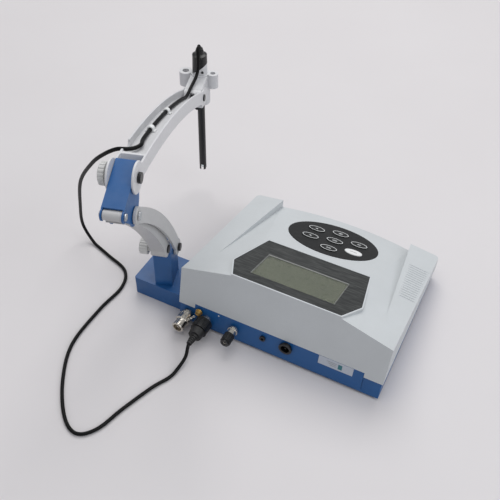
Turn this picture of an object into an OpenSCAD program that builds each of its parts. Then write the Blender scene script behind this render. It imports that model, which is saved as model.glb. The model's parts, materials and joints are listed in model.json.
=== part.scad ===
// Bench pH meter with swing-arm electrode stand
// Millimetres, +Z up. Origin: table level, centre of the meter's footprint.
// Keypad side is -Y, connector side is +Y, the stand is on the +X side.

/* [Meter body] */
// Width of the meter housing
body_w = 240; // [230:1:260]
// Distance from the middle of the housing to its front edge
front_y = 93; // [90:1:100]
// How far the middle of the front edge bows outward
front_bow = 13; // [6:1:16]
// Corner radius of the housing in plan
corner_r = 5; // [3:0.5:6]
// Tilt of the display and keypad panel, degrees
panel_tilt = 18; // [15:0.5:19]
// Height of the panel plane above the origin
panel_z = 57; // [56:0.5:60]
// Housing wall thickness
wall = 2.5; // [2:0.1:3]

/* [Display and keys] */
// Half width of the display opening
lcd_hw = 48; // [40:1:50]
// Thickness of the display bezel
bezel_t = 1.6; // [1.2:0.1:2]
// Half length of one oval key
key_a = 10.6; // [9:0.2:11]
// Half width of one oval key
key_b = 6.2; // [5:0.1:6.6]
// How far a key stands above the keypad overlay
key_rise = 0.8; // [0.4:0.1:1.2]

/* [Rear connectors] */
// Outer radius of the electrode plug
plug_r = 9.8; // [9:0.1:10.4]
// Length of the electrode plug behind the panel
plug_l = 22; // [18:1:26]
// Outer radius of the power socket
dc_r = 7.6; // [6:0.2:8]

/* [Electrode stand] */
// Direction the arm points, degrees from straight forward
arm_yaw = 17.2; // [8:0.2:25]
// Height of the stand base plate
plate_h = 25.5; // [22:0.5:25.5]
// Forward bow of the lower arm
lower_bow = 11; // [8:0.5:12]
// Upward bow of the upper arm
upper_bow = 12; // [8:0.5:14]
// Radius of the upper clamp knob
knob_r = 10.5; // [9:0.5:12]
// Number of grips on each knob
knob_grips = 18; // [12:1:24]

/* [Electrode] */
// Radius of the electrode body
shaft_r = 4.6; // [4.4:0.05:5]
// Radius of the electrode cap
cap_r = 9.2; // [8.8:0.1:9.6]
// Height of the electrode tip above the table
tip_z = 32; // [25:1:40]
// Radius of the cable
cable_r = 1.9; // [1.4:0.1:2.1]

/* [Hidden] */
$fn = 64;

BLUE = [0.11,0.25,0.52];
GREY = [0.80,0.82,0.84];
ARM_GREY = [0.62,0.61,0.61];
DARK = [0.13,0.14,0.15];
BLACK = [0.05,0.05,0.06];
WHITE = [0.9,0.9,0.9];
CHROME = [0.75,0.74,0.70];
STEEL = [0.55,0.56,0.58];
BRASS = [0.78,0.68,0.42];
PIN_DARK = [0.20,0.20,0.22];
LIGHT_METAL = [0.78,0.78,0.78];
HEAD_GREY = [0.80,0.80,0.81];

// ---------- shared shapes ----------
// extrudes a 2-D shape drawn in (y, z) from x0 to x1
module slab(x0, x1) translate([x0,0,0]) rotate([90,0,90]) linear_extrude(x1-x0) children();
// rod along X through pin = [y, z]
module rod_x(pin, x0, x1, r) translate([x0,pin[0],pin[1]]) rotate([0,90,0]) cylinder(r=r, h=x1-x0);
// turns +Z to +Y at port = [x, z]
module along_y(port, y0) translate([port[0],y0,port[1]]) rotate([-90,0,0]) children();
module rod_y(port, y0, y1, r, end_r=undef)
  along_y(port, y0) cylinder(r1=r, r2=is_undef(end_r) ? r : end_r, h=y1-y0);
// stepped round part; each step is [start y, end y, radius, end radius if tapered]
module turned_y(port, steps, from=0)
  for (s=steps) rod_y(port, from+s[0], from+s[1], s[2], len(s)>3 ? s[3] : s[2]);
// ring of thin rods around Z, for cutting or adding grips
module flutes(count, ring_r, r, h)
  for (i=[0:count-1]) rotate([0,0,i*360/count]) translate([ring_r,0,0]) cylinder(r=r, h=h);
module round_rect(x0, y0, x1, y1, r) {
  translate([x0+r,y0]) square([x1-x0-2*r,y1-y0]);
  translate([x0,y0+r]) square([x1-x0,y1-y0-2*r]);
  for (x=[x0+r,x1-r], y=[y0+r,y1-r]) translate([x,y]) circle(r);
}
module ellipse(a, b) polygon([for (i=[0:47]) [a*cos(i*7.5), b*sin(i*7.5)]]);
function bow_radius(half_chord, bow) = (half_chord*half_chord+bow*bow)/(2*bow);

// ---------- meter housing ----------
half_w = body_w/2;
bow_half = 82;                 // half width of the bowed front edge
bow_r = bow_radius(bow_half, front_bow);
split_z = 24;                  // joint between the housings, rear part
split_front_z = 14;            // the same joint at y = -140
seam_gap = 0.15;               // half the gap in the joint
bottom_inset = 1.2;            // lower housing sits inside the upper outline
rear_y = 105;                  // rear face y at split_z
rear_lean = 0.2;               // rear face lean, y per z
window_x = -99;                // rear panel window
window_w = 199;
window_z0 = 5.9;
window_z1 = split_z+6;
window_fit = 0.2;              // clearance around the rear panel
feet = [[-92,-62],[92,-62],[-95,38],[95,38],[0,0]];  // foot centres; the last is the middle pad
// flank planes: height at the origin, slope along x, slope along y
flank_z = 74.6;
flank_dx = 0.2575;
flank_dy = 0.2846;
// shoulder planes: height at the side edge, slope along x, slope along y
shoulder_z = 50.7;
shoulder_dx = 0.147;
shoulder_dy = 0.1964;

// rear connector centres [x, z]
bnc_port = [108,13];
electrode_port = [85,14];
post_port = [50,18];
temp_port = [15.5,21.6];
dc_port = [-12,22];
ground_port = [93.5,23];

module each_housing_screw() for (x=[-100,100], y=[-75,80]) translate([x,y,0]) children();
module each_stand_foot() for (x=[130,175], y=[53,89]) translate([x,y,0]) children();
module each_base_screw() for (x=[91,97], y=[57,69]) translate([x,y,0]) children();

// large block below the plane z = height + dx*x + dy*y
module below(height, dx, dy)
  translate([0,0,height])
    rotate([asin(dy/sqrt(1+dx*dx+dy*dy)),atan(-dx),0])
      translate([-400,-400,-400]) cube([800,800,400]);
module plan(inset=0) {
  round_rect(-half_w+inset, -front_y+inset, half_w-inset, 116, corner_r);
  intersection() {
    translate([0,-front_y-front_bow+bow_r+inset]) circle(bow_r, $fn=240);
    translate([-bow_half+inset,-front_y-front_bow-2]) square([2*bow_half-2*inset,60]);
  }
}
function rear_at(z) = rear_y-rear_lean*(z-split_z);
// everything in front of the leaning rear face
module rear_cut(inset=0) slab(-200, 200)
  polygon([[-140,-5],[rear_at(-5)-inset,-5],[rear_at(120)-inset,120],[-140,120]]);
module behind_rear(inset) difference() {
  translate([-200,0,0]) cube([400,200,60]);
  rear_cut(inset);
}
// space on one side of the housing joint, bounded by z = end_z
module split_space(shift, end_z) slab(-200, 200)
  polygon([[-140,split_front_z+shift],[60,split_z+shift],[140,split_z+shift],
    [140,end_z],[-140,end_z]]);
module above_split(gap) split_space(gap, 130);
module below_split(gap) split_space(-gap, -10);

module below_panel(inset) below(panel_z-inset, 0, tan(panel_tilt));
// raised area around the display; inset keeps the wall at its upright sides
module platform(inset) linear_extrude(140)
  polygon([[-64.4+inset,-4],[-76+inset,63.9],[-62.6+inset,92.6-inset],[-62.6+inset,110],
    [61.1-inset,110],[61.1-inset,92.6-inset],[74-inset,63.9],[61.9-inset,-4]]);
module shoulder_area(side, inset) linear_extrude(140)
  polygon([[side*(82+inset),-112],[side*(104.5+inset),108],[side*(104.5+inset),130],
    [side*140,130],[side*140,-112]]);
module meter_tops(inset) {
  intersection() {
    below(flank_z-inset, -flank_dx, flank_dy);
    below(flank_z-inset, flank_dx, flank_dy);
    below_panel(inset);
  }
  intersection() {
    platform(inset);
    below_panel(inset);
  }
  for (side=[-1,1]) intersection() {
    shoulder_area(side, inset);
    below(shoulder_z+shoulder_dx*half_w-inset, -side*shoulder_dx, shoulder_dy);
  }
}
module meter_solid(inset) intersection() {
  linear_extrude(130) plan(inset);
  rear_cut(inset);
  meter_tops(inset*1.06);      // sloping tops need a little more inset
}

module top_housing() color(GREY) difference() {
  intersection() {
    meter_solid(0);
    above_split(seam_gap);
  }
  difference() {
    intersection() {
      meter_solid(wall);
      above_split(-1);
    }
    each_housing_screw() cylinder(r=5, h=100);  // screw bosses
  }
  // display recess and opening
  on_panel() translate([0,0,-bezel_t]) linear_extrude(10) lens_outline(0.15);
  on_panel() translate([-60,6,-12]) cube([120,84,12]);
  // keypad recess and opening
  on_keypad(-1) linear_extrude(10) ellipse(keypad_a+0.15, keypad_b+0.15);
  on_keypad(-8) linear_extrude(8) ellipse(47, 33);
  translate([window_x,85,split_z-2]) cube([window_w,40,8]);
  each_housing_screw() cylinder(r=1.25, h=30);
}
module bottom_housing() color(BLUE) difference() {
  intersection() {
    linear_extrude(60) plan(bottom_inset);
    rear_cut(bottom_inset);
    below_split(seam_gap);
    translate([-200,-200,3]) cube(400);
  }
  intersection() {
    linear_extrude(60) plan(bottom_inset+wall);
    rear_cut(bottom_inset+wall);
    translate([-200,-200,5.5]) cube(400);
  }
  translate([window_x,85,window_z0]) cube([window_w,40,30]);
  rod_y(bnc_port, 90, 120, 5.65);
  each_housing_screw() {
    cylinder(r=1.7, h=30);
    cylinder(r=3.3, h=4.2);
  }
  for (p=feet) translate([p[0],p[1],0]) cylinder(r=6.2, h=3.8);
}
module rear_panel() color(BLUE) difference() {
  intersection() {
    translate([window_x+window_fit,80,window_z0+window_fit])
      cube([window_w-2*window_fit,60,window_z1-window_z0-2*window_fit]);
    rear_cut(0.2);
    behind_rear(2.7);
  }
  // port, radius of the part that passes through
  for (hole=[[electrode_port,6.2],[post_port,3.2],[temp_port,2.9],[dc_port,dc_r-1.6],
      [ground_port,1.6]])
    rod_y(hole[0], 80, 120, hole[1]+0.03);
}

// ---------- display and keypad ----------
// Panel frame: x across, y up the slope, z out of the panel.
lcd_x = -1;                    // centre of the display opening
lcd_y = 30;                    // lower edge of the opening
lcd_l = 50;                    // its length up the slope
keypad_y = -54.5;
keypad_a = 56;                 // keypad half width
keypad_b = 40.5;               // keypad half length
// key centres: up, down, mode, cal, store, range, enter
keys = [[26,-68.5],[26,-46],[-2.5,-76],[-2.5,-53.5],[-2.5,-31],[-30,-64],[-30,-41.5]];

module on_panel() translate([0,0,panel_z]) rotate([panel_tilt,0,0]) children();
module on_keypad(z) on_panel() translate([0,keypad_y,z]) children();
module lens_outline(grow=0)
  polygon([[-63-grow,-0.5-grow],[-74.5-grow*1.1,67],[-61.5-grow*0.5,95.5+grow],
    [60+grow*0.5,95.5+grow],[72.5+grow*1.1,67],[60.5+grow,-0.5-grow]]);
// block around the display opening, grown sideways and lengthways
module lcd_block(grow_x, grow_y, z, h) translate([lcd_x-lcd_hw-grow_x,lcd_y-grow_y,z])
  cube([2*(lcd_hw+grow_x),lcd_l+2*grow_y,h]);

module display_bezel() color(DARK) on_panel() difference() {
  translate([0,0,-bezel_t]) linear_extrude(bezel_t) lens_outline();
  lcd_block(0, 0, -5, 10);
  lcd_block(2, 2, -5, 4.2);    // seat for the window
}
module display_window() color([0.75,0.78,0.75,0.5]) on_panel() lcd_block(1.9, 1.9, -1.58, 0.75);
module lcd_glass() color([0.50,0.51,0.46]) on_panel() lcd_block(1.5, 1, -4.2, 2.3);
module lcd_backlight() color(WHITE) on_panel() lcd_block(3, 3, -7.5, 3.2);
module keypad_overlay() color(BLACK) difference() {
  on_keypad(-0.95) linear_extrude(1.35) ellipse(keypad_a, keypad_b);
  on_panel() for (k=keys)
    translate([k[0],k[1],-3]) linear_extrude(8) ellipse(key_a+0.25, key_b+0.25);
}
module key_cap(i) on_panel() translate([keys[i][0],keys[i][1],-1])
  linear_extrude(1+0.4+key_rise) ellipse(key_a, key_b);
module key_up() color(DARK) key_cap(0);
module key_down() color(DARK) key_cap(1);
module key_mode() color(DARK) key_cap(2);
module key_cal() color(DARK) key_cap(3);
module key_store() color(DARK) key_cap(4);
module key_range() color(DARK) key_cap(5);
module key_enter() color(WHITE) key_cap(6);
module keypad_mat() color([0.75,0.75,0.72]) on_keypad(0) difference() {
  union() {
    translate([-42,-26,-5.5]) cube([84,52,2]);
    for (k=keys) translate([k[0],k[1]-keypad_y,-5.5]) cylinder(r=3.2, h=3.2);
  }
  for (x=[-38,38]) translate([x,0,-8]) cylinder(r=1.6, h=6);
}

// ---------- board, screws, feet and label ----------
board_z = 14;
board_t = 1.6;
module main_board() color([0.05,0.33,0.16]) difference() {
  union() {
    translate([-85,-40,board_z]) cube([170,125,board_t]);
    // components on the upper face
    translate([0,0,board_z+board_t]) {
      translate([-40,-10,0]) cube([26,18,2.4]);
      translate([-5,0,0]) cube([18,18,2]);
      for (i=[0:5]) translate([25+7*i,10,0]) cylinder(r=2.4, h=6);
      translate([20,50,0]) cube([40,20,6]);
    }
  }
  for (x=[-80,80], y=[-35,80]) translate([x,y,10]) cylinder(r=1.6, h=8);
}
module housing_screws() color(STEEL) each_housing_screw() {
  difference() {
    translate([0,0,2.6]) cylinder(r=3, h=1.55);
    translate([0,0,2.5]) cylinder(r=1.6, h=0.9, $fn=6);
  }
  translate([0,0,4.1]) cylinder(r=1.2, h=21);
}
module rubber_feet() color([0.08,0.08,0.08]) {
  for (p=feet) translate([p[0],p[1],0]) difference() {
    cylinder(r=6, h=3.75);
    // the middle pad has no dimple
    if (p[0]!=0) translate([0,0,-1]) cylinder(r=2, h=1.8);
  }
  each_stand_foot() cylinder(r=4, h=2.2);
}
// thin sheet that follows the leaning rear face
module rating_label() color(WHITE) intersection() {
  translate([-87.5,80,19.5]) cube([38.5,60,10.2]);
  behind_rear(0.18);
  rear_cut(-0.3);
}

// ---------- rear connectors ----------
bnc_y = 107.9;                 // back of the BNC flange
plug_y = 110.6;                // start of the electrode plug
ring_end = plug_y+plug_l*0.6;
boot_end = plug_y+plug_l;

module bnc_socket() color(CHROME) difference() {
  union() {
    turned_y(bnc_port, [[0,2,7],[-2.4,0,5.6],[2,10,4.8]], bnc_y);
    // bayonet pin
    translate([bnc_port[0],bnc_y+7,bnc_port[1]]) cylinder(r=0.9, h=11.6, center=true);
  }
  rod_y(bnc_port, bnc_y+3, bnc_y+11, 3.6);
}
module shorting_cap() color(CHROME) difference() {
  turned_y(bnc_port, [[2.3,12,8.1],[12,14,7.3,6.3],[14,22.5,6.3],[20.5,22,6.9]], bnc_y);
  rod_y(bnc_port, bnc_y+2, bnc_y+11, 5.9);
  difference() {
    rod_y(bnc_port, bnc_y+16, bnc_y+24, 4.9);
    rod_y(bnc_port, bnc_y+15, bnc_y+21, 1.1);
  }
  along_y(bnc_port, bnc_y+4) flutes(16, 8.35, 0.6, 6);
}
module tether_chain() color(CHROME) for (i=[0:9])
  translate([104-i,128-1.4*i,23.5-1.2*sin(i*20)]) rotate([i%2==0 ? 90 : 0,0,35])
    rotate_extrude() translate([1.05,0]) circle(0.32, $fn=24);
module ground_screw() color(BRASS) difference() {
  turned_y(ground_port, [[101,110,1.5],[105.9,107.4,4.2],[107.4,110.4,3.2]]);
  translate([ground_port[0]-4,109.6,ground_port[1]-0.4]) cube([8,2,0.8]);
}
module electrode_socket() color(CHROME) difference() {
  turned_y(electrode_port, [[100,108.5,6.15],[108.5,110,7.9],[110,117,4.8]]);
  rod_y(electrode_port, 111, 118, 3.6);
}
module plug_ring() color(BLACK) difference() {
  rod_y(electrode_port, plug_y, ring_end, plug_r);
  rod_y(electrode_port, 100, 140, 5.1);
  along_y(electrode_port, plug_y+2) flutes(16, plug_r+0.35, 0.8, plug_l*0.4);
}
module plug_boot() color(BLACK) {
  turned_y(electrode_port, [[117.3,ring_end+0.3,5],[ring_end+0.3,boot_end,8.4,7.4]]);
  difference() {
    rod_y(electrode_port, boot_end, boot_end+12, 4.6, 2.9);
    // grooves around the tapered end
    for (i=[0:3]) translate([0,boot_end+2.2+2.4*i,0]) difference() {
      rod_y(electrode_port, 0, 0.8, 6);
      rod_y(electrode_port, -1, 2, 3.1-0.25*i);
    }
  }
}
module post_base() color([0.8,0.8,0.8]) difference() {
  turned_y(post_port, [[101,107.4,3.15],[107.4,110.5,6],[110.5,116,5],[116,128,2.4]]);
  rod_y(post_port, 123, 129, 1.2);
}
module post_cap() color(BLACK) difference() {
  turned_y(post_port, [[116.3,127,5.9],[127,129,4.8]]);
  rod_y(post_port, 116, 130, 2.46);
  along_y(post_port, 117.6) flutes(12, 6.3, 0.8, 13);
}
module temp_jack() color(BLACK) difference() {
  turned_y(temp_port, [[98,106.1,2.85],[106.1,107.7,3.5]]);
  rod_y(temp_port, 99, 108, 1.75);
}
module dc_socket() color(BLACK) difference() {
  turned_y(dc_port, [[97,106.8,dc_r-1.65],[106.8,109,dc_r]]);
  difference() {
    rod_y(dc_port, 99, 110, dc_r-2.6);
    rod_y(dc_port, 98, 107.5, 1.05);  // centre pin
  }
}

// ---------- stand ----------
// Arm frame: origin on the swivel axis at table level, arm points to -Y.
swivel_x = 150;
swivel_y = 85;
// pivots [y, z]; each link runs parallel to its arm, shifted by a fixed amount
post_pivot = [8,85.5];
elbow_pivot = [121,232.5];
lower_shift = [-22.5,-17.5];
post_link_pin = post_pivot+lower_shift;
elbow_link_pin = elbow_pivot+lower_shift;
upper_pivot = [85,246];
head_pivot = [-165,166.5];
upper_shift = [-9,-11];
upper_link_pin = upper_pivot+upper_shift;
head_link_pin = head_pivot+upper_shift;
big_pin_r = 3;
mid_pin_r = 2.5;
small_pin_r = 1.6;

module on_swivel() translate([swivel_x,swivel_y,0]) children();
module arm() on_swivel() rotate([0,0,arm_yaw]) children();
function heading(a, b) = atan2(b[1]-a[1], b[0]-a[0]);
// Bowed strip from a to b, between offsets h0 and h1 outward from the arc.
// side 1 bows to the left of a-to-b, -1 to the right; trims shorten the ends.
module strip(a, b, bow, side, h0, h1, trim_a, trim_b) {
  chord = norm(b-a);
  radius = bow_radius(chord/2, bow);
  translate(a) rotate(heading(a, b)) intersection() {
    translate([chord/2,side*(bow-radius)]) difference() {
      circle(radius+h1, $fn=360);
      circle(radius+h0, $fn=360);
    }
    translate([trim_a,-60]) square([chord-trim_a-trim_b,120]);
  }
}
module bowed_bar(a, b, bow, side, half_h, end_a, end_b) {
  strip(a, b, bow, side, -half_h, half_h, 0, 0);
  translate(a) circle(end_a);
  translate(b) circle(end_b);
}
module lower_strip(half_h, trim_b)
  strip(post_pivot, elbow_pivot, lower_bow, 1, -half_h, half_h, 0, trim_b);
module upper_strip(h1, trim_a, trim_b)
  strip(upper_pivot, head_pivot, upper_bow, -1, -2.5, h1, trim_a, trim_b);

module stand_base() color(BLUE) difference() {
  union() {
    translate([121.2,45,0.4]) linear_extrude(plate_h-0.4) round_rect(0, 0, 63, 52.5, 2);
    // tongue under the meter housing
    translate([86,52,0.4]) cube([37,22,2.4]);
  }
  on_swivel() translate([0,0,-1]) {
    cylinder(r=6.3, h=8);
    cylinder(r=4.03, h=40);
  }
  each_base_screw() translate([0,0,-1]) cylinder(r=1.6, h=5);
  each_stand_foot() translate([0,0,-1]) cylinder(r=4.05, h=3.2);
}
module base_screws() color(STEEL) each_base_screw() translate([0,0,0.45]) cylinder(r=1.5, h=2.5);
module swivel_bolt() color(CHROME) on_swivel() {
  translate([0,0,2.6]) cylinder(r=6.2, h=4.3, $fn=6);
  translate([0,0,6.8]) cylinder(r=4, h=46);
}
module post() color(BLUE) arm() difference() {
  union() {
    slab(-10, 10) polygon([[-22,plate_h+0.1],[7.2,plate_h+0.1],[6.4,60],[5,75],[-22,75]]);
    slab(-5.9, 5.9) {
      translate(post_pivot) circle(7.6);
      polygon([[-8,70],[4.4,70],[11.4,79],[1.2,87.5]]);
    }
  }
  cylinder(r=4.05, h=53.2);
  rod_x(post_pivot, -20, 20, big_pin_r+0.03);
  rod_x(post_link_pin, -20, -4, big_pin_r+0.03);
}
module post_pins() color(PIN_DARK) arm() {
  rod_x(post_pivot, -9.9, 21.9, big_pin_r);
  rod_x(post_pivot, -10.1, -8.5, 4.6);
  rod_x(post_link_pin, -15, -4.1, big_pin_r);
  rod_x(post_link_pin, -16.6, -13.95, 4.6);
}
module lower_arm() color(ARM_GREY) arm() difference() {
  slab(-8.3, 8.3) {
    lower_strip(6.8, 9);
    lower_strip(4.3, 0);
    translate(post_pivot) circle(9.4);
    translate(elbow_pivot) circle(4.6);
  }
  // hollow between the cheeks, opened around the post
  slab(-6.1, 6.1) {
    lower_strip(4.3, 14);
    translate(post_pivot) circle(7.9);
    polygon([for (p=[[0,0],[11,-16],[-5,-22],[-22,-15],[-22,6],[-18,12.5]]) post_pivot+p]);
  }
  rod_x(post_pivot, -20, 20, big_pin_r+0.06);
  rod_x(elbow_pivot, -20, 20, mid_pin_r+0.06);
}
module lower_link() color(ARM_GREY) arm() difference() {
  slab(-13.7, -10.5) bowed_bar(post_link_pin, elbow_link_pin, lower_bow, 1, 7.4, 9.5, 8);
  rod_x(post_link_pin, -20, 0, big_pin_r+0.06);
  rod_x(elbow_link_pin, -20, 0, mid_pin_r+0.06);
}
module knob(pin, x0, x1, r) difference() {
  union() {
    rod_x(pin, x0, x1, r);
    rod_x(pin, x1, x1+0.8, r-1.5);
  }
  for (i=[0:knob_grips-1]) let (angle=i*360/knob_grips)
    rod_x(pin+(r+0.5)*[cos(angle),sin(angle)], x0-1, x1+2, 1.1);
}
module lower_knob() color([0.70,0.70,0.69]) arm() difference() {
  union() {
    rod_x(post_pivot, 9, 12.6, 5.2);
    knob(post_pivot, 12.5, 21, 9);
  }
  rod_x(post_pivot, 0, 20.5, big_pin_r+0.06);
  rod_x(post_pivot, 20.4, 21.95, big_pin_r+0.06);
}
module elbow_bracket() color(BLUE) arm() difference() {
  union() {
    // cheeks
    for (x=[8.6,-10]) slab(x, x+1.4) {
      polygon([[73,254.6],[119.4,239.15],[123,236.6],[125,231.5],[106,209.5],[98,205.4],
        [90,207],[82,220],[76,240]]);
      translate(elbow_pivot) circle(5.5);
      translate(elbow_link_pin) circle(10.2);
    }
    // web along the top and down the front
    slab(-10, 10) polygon([[73,254.6],[119.4,239.15],[118.9,237.1],[74.8,251.8],
      [77.6,240.4],[76,240]]);
    // bosses for the link pin
    for (x=[3.2,-8.7]) rod_x(upper_link_pin, x, x+5.5, 4.2);
  }
  rod_x(elbow_pivot, -20, 20, mid_pin_r+0.03);
  rod_x(elbow_link_pin, -20, -5, mid_pin_r+0.03);
  rod_x(upper_pivot, -20, 20, big_pin_r+0.03);
  rod_x(upper_link_pin, -20, 20, small_pin_r+0.03);
}
module elbow_pins() color(LIGHT_METAL) arm() {
  rod_x(elbow_pivot, -10.05, 10.05, mid_pin_r);
  rod_x(elbow_pivot, -11.6, -10.02, 3.3);
  rod_x(elbow_pivot, 10.02, 11.4, 3.3);
  rod_x(elbow_link_pin, -15, -8.65, mid_pin_r);
  rod_x(elbow_link_pin, -15.6, -13.95, 4.2);
  rod_x(upper_link_pin, -9.6, 9.6, small_pin_r);
}
module upper_bolt() color([0.16,0.16,0.18]) arm() {
  rod_x(upper_pivot, -15.6, -12.65, 5);
  rod_x(upper_pivot, -13, 20.9, big_pin_r);
}
module upper_knob() color([0.74,0.74,0.73]) arm() difference() {
  union() {
    rod_x(upper_pivot, 12.8, 15, 7);
    knob(upper_pivot, 15, 20, knob_r);
  }
  rod_x(upper_pivot, 0, 40, big_pin_r+0.06);
}
upper_half_h = 7.5;
module upper_arm() color(LIGHT_METAL) arm() difference() {
  union() {
    for (x=[10.4,-12.4]) slab(x, x+2)
      bowed_bar(upper_pivot, head_pivot, upper_bow, -1, upper_half_h, 14.5, 9.5);
    slab(-12.4, 12.4) upper_strip(-0.5, 26, 22);  // channel floor
    // full-height crosspiece at the elbow end
    slab(-12.4, 12.4) upper_strip(upper_half_h, 23, 236);
  }
  // notch in the +X cheek where the cable leaves the channel
  slab(9, 14) polygon([[31,262],[33.5,242.2],[36.5,239.9],[48,239.9],[51,242.2],[53,262]]);
  rod_x(upper_pivot, -20, 20, big_pin_r+0.06);
  rod_x(head_pivot, -20, 20, mid_pin_r+0.06);
}
module upper_link() color([0.58,0.58,0.58]) arm() difference() {
  slab(-2.4, 2.4) bowed_bar(upper_link_pin, head_link_pin, upper_bow, -1, 2.4, 4, 4);
  rod_x(upper_link_pin, -9, 9, small_pin_r+0.06);
  rod_x(head_link_pin, -9, 9, small_pin_r+0.06);
}

upper_chord = norm(head_pivot-upper_pivot);
upper_r = bow_radius(upper_chord/2, upper_bow);
cable_x = 3;                   // cable position in the arm channel
cable_lift = 1.75;             // and its height above the arm's arc
// [y, z] of the cable at distance u along the upper arm's chord
function channel(u) = let (
    from_mid = u-upper_chord/2,
    r = upper_r+cable_lift,
    rise = sqrt(r*r-from_mid*from_mid)-upper_r+upper_bow,
    angle = heading(upper_pivot, head_pivot))
  upper_pivot+u*[cos(angle),sin(angle)]+rise*[sin(angle),-cos(angle)];

module cable_clips() color(WHITE) arm() for (u=[92,150])
  translate([cable_x,channel(u)[0],channel(u)[1]])
    rotate([heading(head_pivot, upper_pivot)-asin((upper_chord/2-u)/upper_r),0,0])
      difference() {
        union() {
          rotate([-90,0,0]) translate([0,0,-3]) cylinder(r=3.4, h=6);
          translate([-5,-3.2,-2.2]) cube([10,6.4,1.2]);
        }
        rotate([-90,0,0]) translate([0,0,-5]) cylinder(r=cable_r+0.3, h=10);
        translate([-1.5,-5,-4]) cube([3,10,3]);
        translate([-9,-5,-5.15]) cube([18,10,3]);
      }

// ---------- electrode and its head ----------
axis_y = -203;                 // electrode axis in the arm frame
clamp_z = 140.5;
collar_z = 177.1;              // underside of collar and cap
neck_r = 3.75;                 // shaft inside the collar and cap

module on_axis(x, z) translate([x,axis_y,z]) children();
// round section on the electrode axis
module column(z0, z1, r0, r1=undef)
  on_axis(0, z0) cylinder(r1=r0, r2=is_undef(r1) ? r0 : r1, h=z1-z0);

module electrode_head() color(HEAD_GREY) arm() difference() {
  union() {
    on_axis(0, 136.5) cylinder(r=11.5, h=40.5);
    slab(-10, 10) {
      translate(head_pivot) circle(9);
      polygon([head_pivot+[-2,9],[head_pivot[0]-2,150.5],[head_link_pin[0]-4,148],
        [axis_y+2,146],[axis_y+2,head_pivot[1]+9]]);
      translate(head_link_pin) circle(6);
    }
    // holders on both sides and the bar that joins them
    on_axis(17.5, 159) cylinder(r=8, h=18);
    on_axis(-15.4, 159) cylinder(r=6.6, h=18);
    translate([-15.4,axis_y-5,161]) cube([32.9,10,14]);
  }
  on_axis(0, 100) cylinder(r=shaft_r+0.05, h=100);
  on_axis(17.5, 100) cylinder(r=4, h=100);
  on_axis(-15.4, 158) cylinder(r=3.2, h=20);
  // slots for the link
  translate([-2.9,head_link_pin[0]-8,140]) cube([5.8,60,head_link_pin[1]-140+8]);
  translate([-2.9,head_pivot[0]+1,150]) cube([5.8,60,24]);
  rod_x(head_pivot, -20, 20, mid_pin_r+0.03);
  rod_x(head_link_pin, -20, 20, small_pin_r+0.03);
  on_axis(0, clamp_z) rotate([-90,0,0]) cylinder(r=2.05, h=30);
}
module head_pins() color(PIN_DARK) arm() {
  rod_x(head_pivot, -12.6, 12.6, mid_pin_r);
  for (x=[12.45,-14]) rod_x(head_pivot, x, x+1.55, 4);
  rod_x(head_link_pin, -9.5, 9.5, small_pin_r);
}
module clamp_screw() color([0.12,0.12,0.13]) arm() on_axis(0, clamp_z) rotate([-90,0,0]) {
  translate([0,0,shaft_r+0.2]) cylinder(r=2, h=8);
  difference() {
    translate([0,0,12]) cylinder(r=4.6, h=8);
    translate([0,0,11]) flutes(12, 5, 0.7, 10);
  }
}
// everything under the slanted joint between collar and cap
module under_joint(lift=0)
  on_axis(0, 183.5+lift) rotate([0,36.5,0]) translate([-40,-40,-80]) cube(80);
// radial rod at the refill opening
module refill_rod(r, h)
  on_axis(0, 181) rotate([0,0,120]) rotate([0,90,0]) translate([0,0,cap_r-2.2]) cylinder(r=r, h=h);
module electrode_cap() color(BLACK) arm() difference() {
  union() {
    column(collar_z, 200.5, cap_r, cap_r-0.5);
    column(200.5, 201.8, cap_r-0.6, 5.6);
    column(201.8, 205.5, 5.3, 4.8);
  }
  under_joint();
  column(170, 196, neck_r+0.05);
  for (i=[0:17]) translate([(cap_r+0.3)*cos(i*20),axis_y+(cap_r+0.3)*sin(i*20),180])
    cylinder(r=0.6, h=17);
  refill_rod(1.53, 8);
}
module electrode_collar() color(HEAD_GREY) arm() difference() {
  intersection() {
    column(collar_z, 194, cap_r-0.5);
    under_joint(-0.12);
  }
  column(170, 196, neck_r+0.05);
  refill_rod(1.53, 8);
}
module refill_sleeve() color(BLACK) arm() refill_rod(1.5, 3);
module strain_relief() color(BLACK) arm() difference() {
  union() {
    column(205.6, 208.2, 4.4, 4);
    column(208.2, 209.6, 3.2, 2.8);
  }
  on_axis(0, 206.4) difference() {
    cylinder(r=6, h=0.8);
    translate([0,0,-1]) cylinder(r=3.6, h=3);
  }
}
module electrode_shaft() color(BLACK) arm() difference() {
  union() {
    column(177.05, 196, neck_r);
    column(tip_z+12, 177.05, shaft_r);
    // slotted guard around the bulb
    difference() {
      column(tip_z, tip_z+12, shaft_r);
      column(tip_z-1, tip_z+11, shaft_r-1.1);
      for (a=[0,90]) on_axis(0, tip_z+3) rotate([0,0,a]) cube([3.4,30,10], center=true);
    }
  }
  column(tip_z+8, tip_z+20, 2.05);
}
module glass_bulb() color([0.85,0.90,0.92]) arm() {
  on_axis(0, tip_z+5) sphere(r=3);
  column(tip_z+5, tip_z+19, 2);
}

// ---------- cable: closed tubes along smooth curves ----------
table_z = 2.2;                 // cable centre where it lies on the table
// Catmull-Rom point between b and c
function spline(a, b, c, d, t) =
  0.5*(2*b+(c-a)*t+(2*a-5*b+4*c-d)*t*t+(3*b-a-3*c+d)*t*t*t);
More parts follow.
